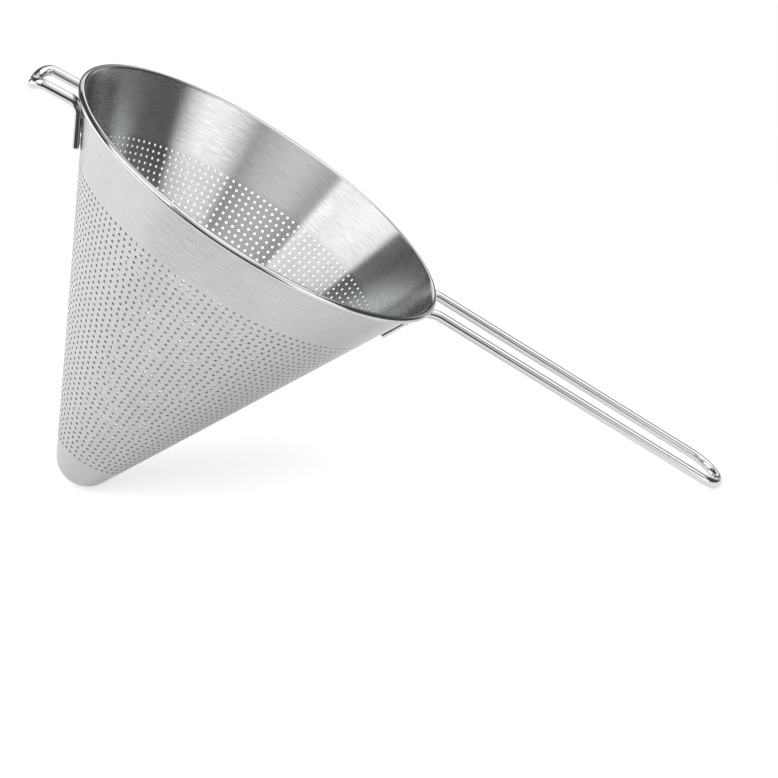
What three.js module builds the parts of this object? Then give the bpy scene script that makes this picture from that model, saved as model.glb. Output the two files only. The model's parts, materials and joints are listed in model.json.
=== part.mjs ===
// Conical kitchen sieve of stainless steel: a perforated cone with a rolled rim, a wire loop handle and,
// opposite it, a wire hook that rests on the edge of a pot. Each wire is bent from one length, and its two
// flattened legs are spot welded to the outside of the cone.
// Millimetres, +Z up. The sieve lies as it does on a table, on its tip and on the end of its handle.

import * as THREE from 'three';

// Driving dimensions of the cone
const rimDiameter = 200;        // over the rolled rim
const rimBead = 3.6;            // thickness of the rolled rim
const sheet = 0.6;              // steel sheet of the cone
const depth = 187.4;            // from the top of the rim to the tip
const tipRadius = 16;           // outside of the rounded tip
const curlGap = 0.4;            // between the end of the curl and the wall

// Driving dimensions of the perforation
const plainBand = 32;           // from the top of the rim down to the first row of holes
const plainTip = 21.7;          // from the last row of holes down to the tip
const holeDiameter = 1.6;
const firstRowHoles = 136;      // round the widest rows
const holesDropped = 8;         // fewer holes round each next group of rows
const rowGroups = [2, 3, 3, 3, 3, 4, 4, 4, 3, 4, 4, 4, 3];
const patchColumns = 4;         // holes side by side that one modelled opening stands for

// Driving dimensions of the two wires
const wireDiameter = 5.2;
const legThickness = 3.4;       // of the wire where it is pressed flat on the cone
const legWidth = 6.8;
const legEnd = 28.5;            // depth of the ends of the legs below the rim
const beadClearance = 0.3;      // between the handle and the rolled rim that it passes under
const handleReach = 279;        // from the axis to the far end of the handle
const handleSpacing = 26.9;     // between the centre lines of the handle's two arms
const handleBend = 12;          // radius of the centre line where the handle's legs turn outwards
const hookReach = 120;          // from the axis to the far end of the hook
const hookSpacing = 25.2;       // between the centre lines of the hook's two arms
const hookDepth = 9.5;          // of the hook's centre line below the rim, at the rim's edge
const hookDroop = 3.5;          // degrees that the hook's arms fall away from the rim
const hookBend = 6;             // radius of the centre line where the hook's legs turn outwards
const hookEnd = 9;              // length of the hook's rounded end, before it is curled
const hookCurl = 6.2;           // radius that the rounded end of the hook is curled down to

// Driving dimensions of the spot welds, two on each leg
const weldDiameter = 4;
const weldHeight = 0.2;
const weldGap = 0.1;            // between a weld and the leg or wall beside it
const weldPlaces = [0.25, 0.75];

// Fineness of the facets
const coneSides = 48;
const fewestSides = 20;         // round the cone, also where the perforation has fewer openings
const domeSteps = 4;
const holeSides = 6;
const ringShare = 0.85;         // of the height of a group of rows, the rest joins two rings of openings
const wireSides = 12;
const bendSteps = 5;
const loopSteps = 8;
const weldSides = 10;

// Values that follow from the driving dimensions, in the cone's own frame: rim plane at z = 0, axis on Z
const quarter = Math.PI / 2;
const beadRadius = rimBead / 2;
const curlRadius = beadRadius - sheet;
const wireRadius = wireDiameter / 2;
const bead = new THREE.Vector2(rimDiameter / 2 - beadRadius, -beadRadius);
const tip = new THREE.Vector2(0, tipRadius - depth);
const wallAngle = crossingAngle(bead.clone().sub(tip), tipRadius + curlRadius);
const wallNormal = new THREE.Vector2(Math.cos(wallAngle), -Math.sin(wallAngle));
const wallDown = new THREE.Vector2(-Math.sin(wallAngle), -Math.cos(wallAngle));
const wallTop = bead.clone().addScaledVector(wallNormal, -curlRadius);
const rowCount = rowGroups.reduce((sum, rows) => sum + rows, 0);
const firstRow = (plainBand + wallTop.y) / wallNormal.x;
const rowPitch = (depth - plainTip - plainBand) / wallNormal.x / (rowCount - 1);
const legStandoff = legThickness / 2 + weldHeight + 2 * weldGap;

const sheetSteel = new THREE.MeshStandardMaterial({ color: 0xb9bcbb, roughness: 0.34, metalness: 1 });
const wireSteel = new THREE.MeshStandardMaterial({ color: 0xd6d8d9, roughness: 0.14, metalness: 1 });
const weldSteel = new THREE.MeshStandardMaterial({ color: 0x8f8d88, roughness: 0.5, metalness: 1 });

// Angle off the axis of a wall that a line from the origin to a point crosses, going outwards by `across`
function crossingAngle(point, across) {
  return Math.acos(across / point.length()) - Math.atan2(point.y, point.x);
}

function polar(centre, radius, angle) {
  return new THREE.Vector2(centre.x + radius * Math.cos(angle), centre.y + radius * Math.sin(angle));
}

// Place in the half section of the wall, by the way down from its top and the inset from its outer face
function wallPoint(down, inset) {
  return wallTop.clone().addScaledVector(wallDown, down).addScaledVector(wallNormal, -inset);
}

function wallRadius(z) {
  return wallTop.x + (z - wallTop.y) * Math.tan(wallAngle);
}

function turned(point, turn) {
  return new THREE.Vector3(point.x * Math.cos(turn), point.x * Math.sin(turn), point.y);
}

// Angles that the flats of the rolled rim face: off the wall, over the top and round, until short of the wall
function rimFlats() {
  const flats = [2 * quarter - wallAngle, (3 * quarter - wallAngle) / 2];
  for (let i = 0; i < 5; i += 1) {
    flats.push(quarter - i * quarter / 2);
  }
  const clear = Math.acos((curlRadius - curlGap) / beadRadius);
  const farthest = 2 * (-Math.PI - wallAngle + clear) + quarter;
  flats.push(Math.max(-1.5 * quarter, farthest));
  return flats;
}

// Corners of a curve round a centre whose flats touch a circle and face the given angles
function facetedArc(centre, radius, flats) {
  const corners = [];
  for (let i = 0; i + 1 < flats.length; i += 1) {
    const half = (flats[i] - flats[i + 1]) / 2;
    corners.push(polar(centre, radius / Math.cos(half), flats[i + 1] + half));
  }
  return corners;
}

// Triangles between two closed loops that run the same way, each corner with its angle
function zip(loop, other) {
  const triangles = [];
  const angleAt = (ring, i) => (i < ring.length ? ring[i].angle : ring[0].angle + 2 * Math.PI);
  let [i, j] = [0, 0];
  while (i < loop.length || j < other.length) {
    const nextHere = i < loop.length ? angleAt(loop, i + 1) : Infinity;
    const nextThere = j < other.length ? angleAt(other, j + 1) : Infinity;
    const here = loop[i % loop.length].id;
    const there = other[j % other.length].id;
    if (nextHere <= nextThere) {
      i += 1;
      triangles.push(here, loop[i % loop.length].id, there);
    } else {
      j += 1;
      triangles.push(here, other[j % other.length].id, there);
    }
  }
  return triangles;
}

// Angles seen from a middle, counted on from that of the first corner
function withAngles(ids, spots) {
  const start = Math.atan2(spots[0].y, spots[0].x);
  const angles = spots.map((spot) => (Math.atan2(spot.y, spot.x) - start + 4 * Math.PI) % (2 * Math.PI));
  return ids.map((id, i) => ({ id, angle: angles[i] + start }));
}

// One face of the sheet from the tip to the end of the curl, at an inset from the outer face.
// Each opening stands for a patch of small holes and is as open as they are together.
function sheetFace(inset) {
  const corners = [];
  const triangles = [];
  const holes = [];
  let below = null;

  const addCorner = (point) => corners.push(...point) / 3 - 1;
  const addRing = (point, sides) => {
    const ring = [];
    for (let i = 0; i < sides; i += 1) {
      const angle = 2 * Math.PI * i / sides;
      ring.push({ id: addCorner(turned(point, angle)), angle });
    }
    return ring;
  };
  const joinRing = (point, sides) => {
    const ring = addRing(point, sides);
    triangles.push(...zip(below, ring));
    below = ring;
  };

  // Openings of one group of rows, each in a cell of its own between the ring below and the ring above
  const addCells = (top, bottom, rows, count, facets) => {
    const lower = below;
    const upper = addRing(wallPoint(top, inset), count * facets);
    const middle = (top + bottom) / 2;
    const radius = wallPoint(middle, 0).x;
    const size = holeDiameter / 2 * Math.sqrt(patchColumns * rows);
    for (let c = 0; c < count; c += 1) {
      const centre = 2 * Math.PI * (c + 0.5) / count;
      const frame = [];
      for (let k = 0; k <= facets; k += 1) {
        const corner = lower[(c * facets + k) % lower.length];
        frame.push({ corner, x: k / facets - 0.5, y: middle - bottom });
      }
      for (let k = facets; k >= 0; k -= 1) {
        const corner = upper[(c * facets + k) % upper.length];
        frame.push({ corner, x: k / facets - 0.5, y: middle - top });
      }
      const width = 2 * Math.PI * radius / count;
      const spots = frame.map(({ x, y }) => new THREE.Vector2(x * width, y));
      const edge = withAngles(frame.map(({ corner }) => corner.id), spots);
      const hole = [];
      for (let k = 0; k < holeSides; k += 1) {
        const angle = 2 * Math.PI * (k + 1) / holeSides - Math.PI;
        const spot = polar(new THREE.Vector2(), size, angle);
        const point = turned(wallPoint(middle - spot.y, inset), centre + spot.x / radius);
        hole.push({ id: addCorner(point), angle });
      }
      triangles.push(...zip(edge, hole));
      holes.push(hole.map(({ id }) => id));
    }
    below = upper;
  };

  const apex = addCorner(turned(polar(tip, tipRadius - inset, -quarter), 0));
  const facetsOf = (count) => Math.ceil(fewestSides / count);
  const countOf = (group) => (firstRowHoles - holesDropped * group) / patchColumns;
  const lastCount = countOf(rowGroups.length - 1);
  const tipSides = lastCount * facetsOf(lastCount);
  for (let i = 1; i <= domeSteps; i += 1) {
    const point = polar(tip, tipRadius - inset, -quarter + (quarter - wallAngle) * i / domeSteps);
    if (i === 1) {
      below = addRing(point, tipSides);
      below.forEach(({ id }, k) => triangles.push(apex, below[(k + 1) % tipSides].id, id));
    } else {
      joinRing(point, tipSides);
    }
  }

  let row = rowCount;
  for (let group = rowGroups.length - 1; group >= 0; group -= 1) {
    const rows = rowGroups[group];
    row -= rows;
    const middle = firstRow + (row + (rows - 1) / 2) * rowPitch;
    const reach = rows * rowPitch * ringShare / 2;
    const count = countOf(group);
    joinRing(wallPoint(middle + reach, inset), count * facetsOf(count));
    addCells(middle - reach, middle + reach, rows, count, facetsOf(count));
  }

  joinRing(wallPoint(firstRow - rowPitch, inset), coneSides);
  facetedArc(bead, curlRadius + inset, rimFlats()).forEach((point) => joinRing(point, coneSides));
  return { corners, triangles, loops: [...holes, below.map(({ id }) => id)] };
}

function meshOf(corners, triangles) {
  const geometry = new THREE.BufferGeometry();
  geometry.setAttribute('position', new THREE.BufferAttribute(new Float32Array(corners), 3));
  geometry.setIndex(triangles);
  return geometry;
}

// The sheet closed: both faces, the walls of the openings and the end of the curl
function sieveCone() {
  const outer = sheetFace(0);
  const inner = sheetFace(sheet);
  const shift = outer.corners.length / 3;
  const triangles = [...outer.triangles];
  for (let i = 0; i < inner.triangles.length; i += 3) {
    const [a, b, c] = inner.triangles.slice(i, i + 3);
    triangles.push(a + shift, c + shift, b + shift);
  }
  for (const loop of outer.loops) {
    loop.forEach((here, k) => {
      const next = loop[(k + 1) % loop.length];
      triangles.push(here, next, next + shift, here, next + shift, here + shift);
    });
  }
  return meshOf([...outer.corners, ...inner.corners], triangles);
}

// A wire through stations, each with its place, the way its flat faces, and its thickness and width there
function wireSolid(stations) {
  const corners = [];
  const triangles = [];
  const last = stations.length - 1;
  stations.forEach((station, i) => {
    const before = stations[Math.max(i - 1, 0)].point;
    const after = stations[Math.min(i + 1, last)].point;
    const along = after.clone().sub(before).normalize();
    const side = along.clone().cross(station.facing).normalize();
    const up = side.clone().cross(along);
    const squareness = 2 / (1 + station.width / station.thickness);
    for (let k = 0; k < wireSides; k += 1) {
      const angle = 2 * Math.PI * k / wireSides;
      const rise = Math.sign(Math.cos(angle)) * Math.abs(Math.cos(angle)) ** squareness;
      const across = Math.sign(Math.sin(angle)) * Math.abs(Math.sin(angle)) ** squareness;
      const corner = station.point.clone().addScaledVector(up, rise * station.thickness / 2);
      corners.push(...corner.addScaledVector(side, across * station.width / 2));
    }
  });
  for (let i = 0; i < last; i += 1) {
    for (let k = 0; k < wireSides; k += 1) {
      const a = i * wireSides + k;
      const b = i * wireSides + (k + 1) % wireSides;
      triangles.push(a, b, a + wireSides, b, b + wireSides, a + wireSides);
    }
  }
  for (let k = 1; k + 1 < wireSides; k += 1) {
    const end = last * wireSides;
    triangles.push(0, k + 1, k, end, end + k, end + k + 1);
  }
  return meshOf(corners, triangles);
}

// The straight of a leg in the plane at a distance `side` from the axis: its end, its way up and its way out
function legLine(side) {
  const off = legStandoff / wallNormal.x;
  const at = (z) => new THREE.Vector2(Math.sqrt((wallRadius(z) + off) ** 2 - side ** 2), z);
  const end = at(-legEnd);
  const up = at(-rimBead).sub(end).normalize();
  return { end, up, out: new THREE.Vector2(up.y, -up.x) };
}

// Height of an arm whose bend passes under the rolled rim with the bead clearance
function heightUnderRim(side, bend) {
  const { end, up, out } = legLine(side);
  const rim = new THREE.Vector2(Math.sqrt(bead.x ** 2 - side ** 2), bead.y);
  const reach = bend + beadRadius + wireRadius + beadClearance;
  const from = end.clone().addScaledVector(out, bend).sub(rim);
  const middle = from.dot(up);
  const rise = -middle - Math.sqrt(middle ** 2 - from.lengthSq() + reach ** 2);
  return rim.y + from.y + rise * up.y + bend;
}

// A wire's leg up to its bend. The arm that follows has the wire's height at the rim's edge, and its droop.
function legOf({ height, droop, bend }, side) {
  const line = legLine(side);
  const arm = new THREE.Vector2(Math.cos(droop), -Math.sin(droop));
  const armUp = new THREE.Vector2(-arm.y, arm.x);
  const turn = Math.acos(line.up.dot(arm));
  const edge = new THREE.Vector2(rimDiameter / 2, height);
  const rise = armUp.dot(edge.sub(line.end)) / armUp.dot(line.up);
  return { ...line, turn, length: rise - bend * Math.tan(turn / 2) };
}

// Stations up a leg and round its bend, pressed flat on the cone and round again before the arm
function legStations(wire, side) {
  const { end, up, out, turn, length } = legOf(wire, side);
  const start = end.clone().addScaledVector(up, length);
  const centre = start.clone().addScaledVector(out, wire.bend);
  const flat = { thickness: legThickness, width: legWidth };
  const lean = side / wallRadius(-legEnd);
  const facing = new THREE.Vector3(out.x, lean, out.y);
  const stations = [end, start].map((place) => ({ place, facing, ...flat }));
  for (let i = 1; i <= bendSteps; i += 1) {
    const angle = turn * i / bendSteps;
    const round = Math.min(1, 1.5 * i / bendSteps);
    const inwards = up.clone().multiplyScalar(Math.sin(angle)).addScaledVector(out, -Math.cos(angle));
    stations.push({
      place: centre.clone().addScaledVector(inwards, wire.bend),
      facing: new THREE.Vector3(-inwards.x, lean * (1 - round), -inwards.y),
      thickness: THREE.MathUtils.lerp(legThickness, wireDiameter, round),
      width: THREE.MathUtils.lerp(legWidth, wireDiameter, round),
    });
  }
  return stations.map(({ place, ...rest }) => {
    const point = new THREE.Vector3(place.x, side, place.y);
    return { point, ...rest };
  });
}

// How far out and down a loop has come after a length, straight or curled down to a radius
function curledPath(along, curl) {
  const bent = curl ? along / curl : 0;
  const out = curl ? curl * Math.sin(bent) : along;
  const down = curl ? curl * (1 - Math.cos(bent)) : 0;
  return { bent, out, down };
}

// Stations round the end of a loop, half a turn from one arm to the other
function loopStations({ spacing, height, droop, reach, roundEnd, curl }) {
  const whole = curledPath(roundEnd, curl);
  const startX = reach - wireRadius - whole.out * Math.cos(droop) + whole.down * Math.sin(droop);
  const startZ = height - (startX - rimDiameter / 2) * Math.tan(droop);
  const stations = [];
  for (let i = 0; i <= 2 * loopSteps; i += 1) {
    const angle = quarter * i / loopSteps;
    const { bent, out, down } = curledPath(roundEnd * Math.sin(angle), curl);
    stations.push({
      point: new THREE.Vector3(
        startX + out * Math.cos(droop) - down * Math.sin(droop),
        -spacing / 2 * Math.cos(angle),
        startZ - out * Math.sin(droop) - down * Math.cos(droop),
      ),
      facing: new THREE.Vector3(-Math.sin(droop + bent), 0, -Math.cos(droop + bent)),
      thickness: wireDiameter,
      width: wireDiameter,
    });
  }
  return stations;
}

// A whole wire: up one leg, round the loop and down the other leg
function loopWire(wire) {
  const mirror = new THREE.Vector3(1, -1, 1);
  const leg = legStations(wire, -wire.spacing / 2);
  const otherLeg = leg.map((station) => ({
    ...station,
    point: station.point.clone().multiply(mirror),
    facing: station.facing.clone().multiply(mirror),
  }));
  return wireSolid([...leg, ...loopStations(wire), ...otherLeg.reverse()]);
}

function addPiece(group, name, geometry, material) {
  const piece = new THREE.Mesh(geometry, material);
  piece.name = name;
  group.add(piece);
}

// Spot welds between the legs of a wire and the wall, in pairs up each leg
function addWelds(group, name, wire) {
  for (const [sideName, side] of [['left', wire.spacing / 2], ['right', -wire.spacing / 2]]) {
    const { end, up, length } = legOf(wire, side);
    weldPlaces.forEach((share, i) => {
      const place = end.clone().addScaledVector(up, share * length);
      const turn = Math.atan2(side, place.x);
      const outwards = turned(wallNormal, turn);
      const onWall = turned(new THREE.Vector2(wallRadius(place.y), place.y), turn);
      const centre = onWall.addScaledVector(outwards, weldGap + weldHeight / 2);
      const stand = new THREE.Quaternion().setFromUnitVectors(new THREE.Vector3(0, 1, 0), outwards);
      const weld = new THREE.CylinderGeometry(weldDiameter / 2, weldDiameter / 2, weldHeight, weldSides);
      weld.applyQuaternion(stand).translate(...centre);
      addPiece(group, `${name}_weld_${sideName}_${i + 1}`, weld, weldSteel);
    });
  }
}

// Lean of the axis at which the tip and the end of the handle lie on one floor
function restLean(height) {
  const end = new THREE.Vector2(handleReach - wireRadius, height - tip.y);
  return end.angle() + Math.asin((tipRadius - wireRadius) / end.length());
}

const handle = {
  spacing: handleSpacing,
  height: heightUnderRim(handleSpacing / 2, handleBend),
  droop: 0,
  reach: handleReach,
  bend: handleBend,
  roundEnd: handleSpacing / 2,
  curl: 0,
};
const hook = {
  spacing: hookSpacing,
  height: -hookDepth,
  droop: THREE.MathUtils.degToRad(hookDroop),
  reach: hookReach,
  bend: hookBend,
  roundEnd: hookEnd,
  curl: hookCurl,
};

const cone = new THREE.Group();
addPiece(cone, 'sieve_cone', sieveCone(), sheetSteel);
addPiece(cone, 'loop_handle', loopWire(handle), wireSteel);
addWelds(cone, 'handle', handle);

const hookSide = new THREE.Group();
addPiece(hookSide, 'pot_hook', loopWire(hook), wireSteel);
addWelds(hookSide, 'hook', hook);
hookSide.rotation.z = Math.PI;
cone.add(hookSide);

// The sieve laid down, with its lowest points on the floor and the middle of its outline over the origin
cone.rotation.y = restLean(handle.height);
const bounds = new THREE.Box3().setFromObject(cone, true);
cone.position.set(-(bounds.min.x + bounds.max.x) / 2, 0, -bounds.min.z);

const sieve = new THREE.Group();
sieve.add(cone);

export default sieve;
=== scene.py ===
"""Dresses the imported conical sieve: its perforated sheet, its two bent wires, its welds and a plain studio."""

import json
from math import acos, atan2, cos, hypot, pi, radians, sin, sqrt, tan

import bpy
import numpy as np
from bpy.props import FloatProperty, FloatVectorProperty, IntProperty, PointerProperty
from bpy.types import Operator, Panel, PropertyGroup
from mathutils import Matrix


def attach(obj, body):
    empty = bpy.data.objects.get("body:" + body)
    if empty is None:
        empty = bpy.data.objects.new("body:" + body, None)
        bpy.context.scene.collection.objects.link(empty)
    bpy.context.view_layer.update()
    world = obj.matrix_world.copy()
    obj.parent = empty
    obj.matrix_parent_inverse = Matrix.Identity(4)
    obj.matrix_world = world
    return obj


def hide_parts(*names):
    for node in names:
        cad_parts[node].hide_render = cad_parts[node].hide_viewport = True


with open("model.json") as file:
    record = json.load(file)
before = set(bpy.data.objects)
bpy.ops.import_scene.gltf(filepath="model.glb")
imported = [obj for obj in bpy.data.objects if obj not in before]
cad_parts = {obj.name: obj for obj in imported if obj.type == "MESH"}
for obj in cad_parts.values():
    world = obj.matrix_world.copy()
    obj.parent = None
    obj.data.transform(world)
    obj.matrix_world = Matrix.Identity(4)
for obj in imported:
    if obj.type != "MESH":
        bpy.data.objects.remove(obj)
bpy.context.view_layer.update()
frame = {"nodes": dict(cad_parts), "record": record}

bl_info = {
    "name": "Conical Sieve Dresser",
    "version": (1, 0, 0),
    "blender": (4, 5, 0),
    "location": "View3D > Sidebar > Sieve",
    "description": "Builds the sheet, wires, finishes and studio of a conical sieve on its packed frame",
    "category": "Object",
}

# The sieve's own frame: rim plane at height 0, axis upwards, first direction towards the handle
RIM_FACE = next(m for m in frame["record"]["mounts"] if m["name"] == "rim_face")
RIM_FACE_RADIUS = 0.0981
LEAN = atan2(RIM_FACE["axis"][0], RIM_FACE["axis"][2])
TOWARDS_HANDLE = np.array([cos(LEAN), 0.0, -sin(LEAN)])
SIDEWAYS = np.array([0.0, 1.0, 0.0])
UP_AXIS = np.array([sin(LEAN), 0.0, cos(LEAN)])
SIEVE_AXES = np.stack([TOWARDS_HANDLE, SIDEWAYS, UP_AXIS])
RIM_SIDE = RIM_FACE["pos_m"][1]
RIM_CENTRE = (
    np.array(RIM_FACE["pos_m"])
    - sqrt(RIM_FACE_RADIUS**2 - RIM_SIDE**2) * TOWARDS_HANDLE
    - RIM_SIDE * SIDEWAYS
)

# Rows of holes down the wall, in groups that have the same number of holes in each row
ROW_GROUPS = (2, 3, 3, 3, 3, 4, 4, 4, 3, 4, 4, 4, 3)
ROW_COUNT = sum(ROW_GROUPS)
CUT_MARK = -0.5  # shift of the walls of the holes down the marks map, past all the rest of the sheet
INNER_MARK = 2.0  # shift of the inner face round the marks map, in turns
TURN = 2 * pi

# Rings and steps of the surfaces
TIP_RINGS, BAND_RINGS, CURL_RINGS = 17, 6, 30
CURL_END = radians(-115)  # where the rolled edge stops, round the bead from straight out
GROUP_GAP = 0.1  # half of the plain strip between two groups of rows, in pitches
FIRST_CORNER = -0.625 * pi  # of each hole, half a corner before straight down
LEG_STEPS, BEND_STEPS, ARM_STEPS, LOOP_STEPS, END_STEPS = 14, 22, 14, 30, 5
FLAT_FADE = 1.5  # the pressed flat fades out over the first two thirds of the bend
SHARP_ANGLE = radians(50)


def length(name, description, default):
    """A size in metres."""
    return FloatProperty(name=name, description=description, default=default, unit="LENGTH", precision=5)


def tint(name, description, default):
    """A linear colour."""
    return FloatVectorProperty(name=name, description=description, default=default, subtype="COLOR", min=0, max=1)


def share(name, description, default):
    """A part of one."""
    return FloatProperty(name=name, description=description, default=default, subtype="FACTOR", min=0, max=1)


class SieveConeSizes(PropertyGroup):
    """Sizes of the perforated sheet."""

    rim_diameter: length("Rim diameter", "Over the rolled rim", 0.2)
    rim_bead: length("Rim bead", "Thickness of the rolled rim", 0.0036)
    sheet: length("Sheet", "Thickness of the steel", 0.0006)
    depth: length("Depth", "From the top of the rim to the tip", 0.1874)
    tip_radius: length("Tip radius", "Outside of the rounded tip", 0.016)
    plain_band: length("Plain band", "From the top of the rim down to the first row of holes", 0.032)
    plain_tip: length("Plain tip", "From the last row of holes down to the tip", 0.0217)
    hole_diameter: length("Hole diameter", "Of each small round hole", 0.0016)
    first_row_holes: IntProperty(name="First row", description="Holes round the widest rows", default=136)
    holes_dropped: IntProperty(name="Holes dropped", description="Fewer holes round each next group", default=8)
    hole_sides: IntProperty(name="Hole sides", description="Corners of each hole", default=8)
    rim_sides: IntProperty(name="Rim sides", description="Corners round the plain band and the rim", default=272)
    tip_sides: IntProperty(name="Tip sides", description="Corners round the tip", default=80)


class SieveWireSizes(PropertyGroup):
    """Sizes of the handle's and the hook's wire."""

    wire_diameter: length("Wire", "Diameter of both wires", 0.0052)
    leg_thickness: length("Leg thickness", "Where the wire is pressed flat on the cone", 0.0034)
    leg_width: length("Leg width", "Where the wire is pressed flat on the cone", 0.0068)
    leg_end: length("Leg end", "Depth of the legs' ends below the rim", 0.0285)
    leg_gap: length("Leg gap", "Between a leg and the wall, filled by its welds", 0.0004)
    bead_clearance: length("Bead clearance", "Between the handle and the rolled rim", 0.0003)
    handle_reach: length("Handle reach", "From the axis to the handle's end", 0.279)
    handle_spacing: length("Handle spacing", "Between the centre lines of the handle's arms", 0.0269)
    handle_bend: length("Handle bend", "Radius of the handle's bends under the rim", 0.012)
    hook_reach: length("Hook reach", "From the axis to the hook's end", 0.12)
    hook_spacing: length("Hook spacing", "Between the centre lines of the hook's arms", 0.0252)
    hook_depth: length("Hook depth", "Of the hook's arms below the rim, at its edge", 0.0095)
    hook_bend: length("Hook bend", "Radius of the bends over the hook's legs", 0.006)
    hook_end: length("Hook end", "Length of the hook's rounded end, before it is curled", 0.009)
    hook_curl: length("Hook curl", "Radius that the hook's end is curled to", 0.0062)
    hook_droop: FloatProperty(
        name="Hook droop", description="Fall of the hook's arms", default=radians(3.5), subtype="ANGLE"
    )


class SieveFinish(PropertyGroup):
    """Colours and gloss of the steel."""

    sheet_colour: tint("Sheet", "Turned sheet steel", (0.63, 0.646, 0.643))
    wire_colour: tint("Wire", "Polished wire", (0.66, 0.67, 0.672))
    # Sheared steel in the holes, darkened further as painted shade inside the holes
    cut_and_shade_colour: tint("Cut edges", "Sheared steel in the holes", (0.42, 0.43, 0.428))
    weld_colour: tint("Weld", "Fused metal", (0.30, 0.285, 0.26))
    sheet_roughness: share("Sheet roughness", "Of the turned sheet", 0.23)
    sheet_turning: share("Sheet turning", "Stretch of highlights across the turning lines", 1.0)
    punched_roughness: share("Punched roughness", "Of the sheet between the holes, which is left as rolled", 0.19)
    rim_roughness: share("Rim roughness", "Of the polished rolled rim", 0.08)
    wire_roughness: share("Wire roughness", "Of the polished wire", 0.09)


class SieveStudio(PropertyGroup):
    """Camera and light."""

    camera_distance: length("Camera distance", "From the middle of the rim", 0.8795)
    camera_height: FloatProperty(
        name="Camera height", description="Angle over the horizon", default=radians(24.206), subtype="ANGLE"
    )
    focal_pixels: FloatProperty(name="Focal length", description="In widths of a pixel", default=1835.6)
    rim_across: FloatProperty(name="Rim across", description="Pixel column of the rim's middle", default=264.75)
    rim_down: FloatProperty(name="Rim down", description="Pixel row of the rim's middle", default=186.69)
    image_width: IntProperty(name="Image width", description="In pixels", default=778)
    floor_colour: tint("Floor", "White table", (0.82, 0.82, 0.82))
    floor_glow: FloatProperty(
        name="Floor glow", description="Light that the table adds to what falls on it", default=0.35
    )
    floor_white: FloatProperty(name="Floor white", description="More of it, for the camera only", default=0.175)
    # Middle of the painted shadow on the table under the sieve
    shade_spot: FloatVectorProperty(
        name="Shaded spot", description="Middle of the table under the sieve, which glows less", subtype="XYZ",
        unit="LENGTH", default=(-0.03, 0.0, 0.0),
    )
    room_light: FloatProperty(name="Room light", description="Brightness between the softboxes", default=0.08)


def place(points):
    """Points of the sieve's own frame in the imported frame: the rim's centre plus each axis times its coordinate."""
    return RIM_CENTRE + np.asarray(points) @ SIEVE_AXES


def directions(vectors):
    """Directions of the sieve's own frame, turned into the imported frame."""
    return np.asarray(vectors) @ SIEVE_AXES


def unit(vectors):
    """Vectors divided by their lengths."""
    return vectors / np.linalg.norm(vectors, axis=-1, keepdims=True)


def turned(section, angles):
    """Points of a half section, radius and height, carried round the axis by angles."""
    radius, height = np.broadcast_arrays(section[..., 0], section[..., 1])
    return np.stack([radius * np.cos(angles), radius * np.sin(angles), height + 0 * angles], axis=-1)


def polar(angle):
    """Unit vector at an angle in the half section."""
    return np.stack([np.cos(angle), np.sin(angle)], axis=-1)


def zip_pattern(here, there):
    """Triangles between two closed loops given by rising angles: each next corner, by its angle, closes one triangle.

    Corners of the second loop are counted on from the first loop's.
    """
    n, m = len(here), len(there)
    reached = np.concatenate([np.append(here[1:], here[0] + TURN), np.append(there[1:], there[0] + TURN)])
    order = np.argsort(reached, kind="stable")
    other = np.repeat([False, True], [n, m])[order]
    i = np.cumsum(~other) - ~other
    j = np.cumsum(other) - other
    closing = np.where(other, n + (j + 1) % m, (i + 1) % n)
    return np.stack([i % n, closing, n + j % m], axis=1)


class Wall:
    """Half section of the sheet's outer face: a tip arc, a straight wall and a curl, each with its outward normal.

    The wall touches the tip's circle and, from inside, the circle that the curl's inner face follows.
    """

    def __init__(self, sizes):
        self.bead_radius = sizes.rim_bead / 2
        self.curl_radius = self.bead_radius - sizes.sheet
        self.bead = np.array([sizes.rim_diameter / 2 - self.bead_radius, -self.bead_radius])
        self.tip = np.array([0.0, sizes.tip_radius - sizes.depth])
        self.tip_radius = sizes.tip_radius
        across = self.bead - self.tip
        self.angle = acos((sizes.tip_radius + self.curl_radius) / hypot(*across)) - atan2(across[1], across[0])
        self.normal = np.array([cos(self.angle), -sin(self.angle)])
        self.down = np.array([-sin(self.angle), -cos(self.angle)])
        self.top = self.bead - self.curl_radius * self.normal
        self.first_row = (sizes.plain_band + self.top[1]) / self.normal[0]
        self.pitch = (sizes.depth - sizes.plain_tip - sizes.plain_band) / self.normal[0] / (ROW_COUNT - 1)
        self.end = self.drop(self.tip + sizes.tip_radius * self.normal)

    def drop(self, point):
        """Way down the wall of a point of its half section."""
        return float((point - self.top) @ self.down)

    def radius(self, height):
        """Radius of the outer face at a height."""
        return self.top[0] + (height - self.top[1]) * tan(self.angle)

    def straight(self, drop):
        """Points down the wall, all with the wall's normal."""
        point = self.top + np.asarray(drop)[..., None] * self.down
        return point, np.broadcast_to(self.normal, point.shape)

    def dome(self, angle):
        """Points round the tip, with normals away from its centre."""
        normal = polar(angle)
        return self.tip + self.tip_radius * normal, normal

    def curl(self, angle):
        """Points round the inside of the curl, with normals towards its centre."""
        outwards = polar(angle)
        return self.bead + self.curl_radius * outwards, -outwards


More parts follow.
